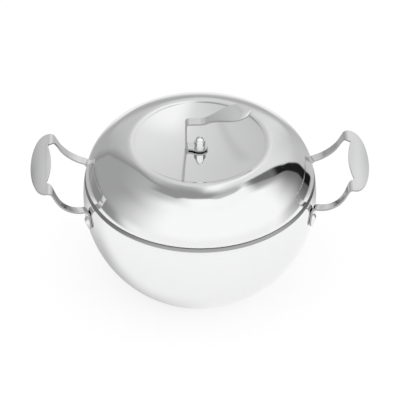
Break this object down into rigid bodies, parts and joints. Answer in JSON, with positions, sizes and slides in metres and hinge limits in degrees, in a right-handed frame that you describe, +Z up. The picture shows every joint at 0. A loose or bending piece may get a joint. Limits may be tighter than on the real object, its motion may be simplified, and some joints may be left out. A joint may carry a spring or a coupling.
{
  "type": "cooking pot",
  "caption": "Polished steel cooking pot with a ball-shaped body, riveted strap handles and a loose domed lid that has a paddle-shaped strap handle.",
  "frame": {"origin": "middle of the base, on the surface that the pot stands on", "axes": "+Z up, +X towards the right-hand grip and the tip of the lid's handle, -Y to the front"},
  "size_m": [0.3566, 0.247, 0.2146],
  "materials": {
    "polished_steel": "mirror polished",
    "satin_steel": "satin",
    "disc_aluminium": "as rolled",
    "gasket_rubber": "matt"
  },
  "bodies": {
    "pot": {"pot_body": "polished_steel", "base_core": "disc_aluminium", "base_cap": "polished_steel", "left_handle": "polished_steel", "right_handle": "polished_steel", "left_front_rivet": "polished_steel", "left_rear_rivet": "polished_steel", "right_front_rivet": "polished_steel", "right_rear_rivet": "polished_steel"},
    "lid": {"lid_skin": "polished_steel", "lid_collar": "satin_steel", "lid_handle": "polished_steel", "foot_gasket": "gasket_rubber", "lid_seal": "gasket_rubber", "lid_washer": "satin_steel", "lid_screw": "satin_steel", "lock_washer": "satin_steel", "cap_nut": "polished_steel"}
  },
  "joints": [
    {"name": "lid_lift", "type": "slide", "parent": "pot", "child": "lid", "axis": [0, 0, 1], "range_m": [0, 0.15]}
  ]
}
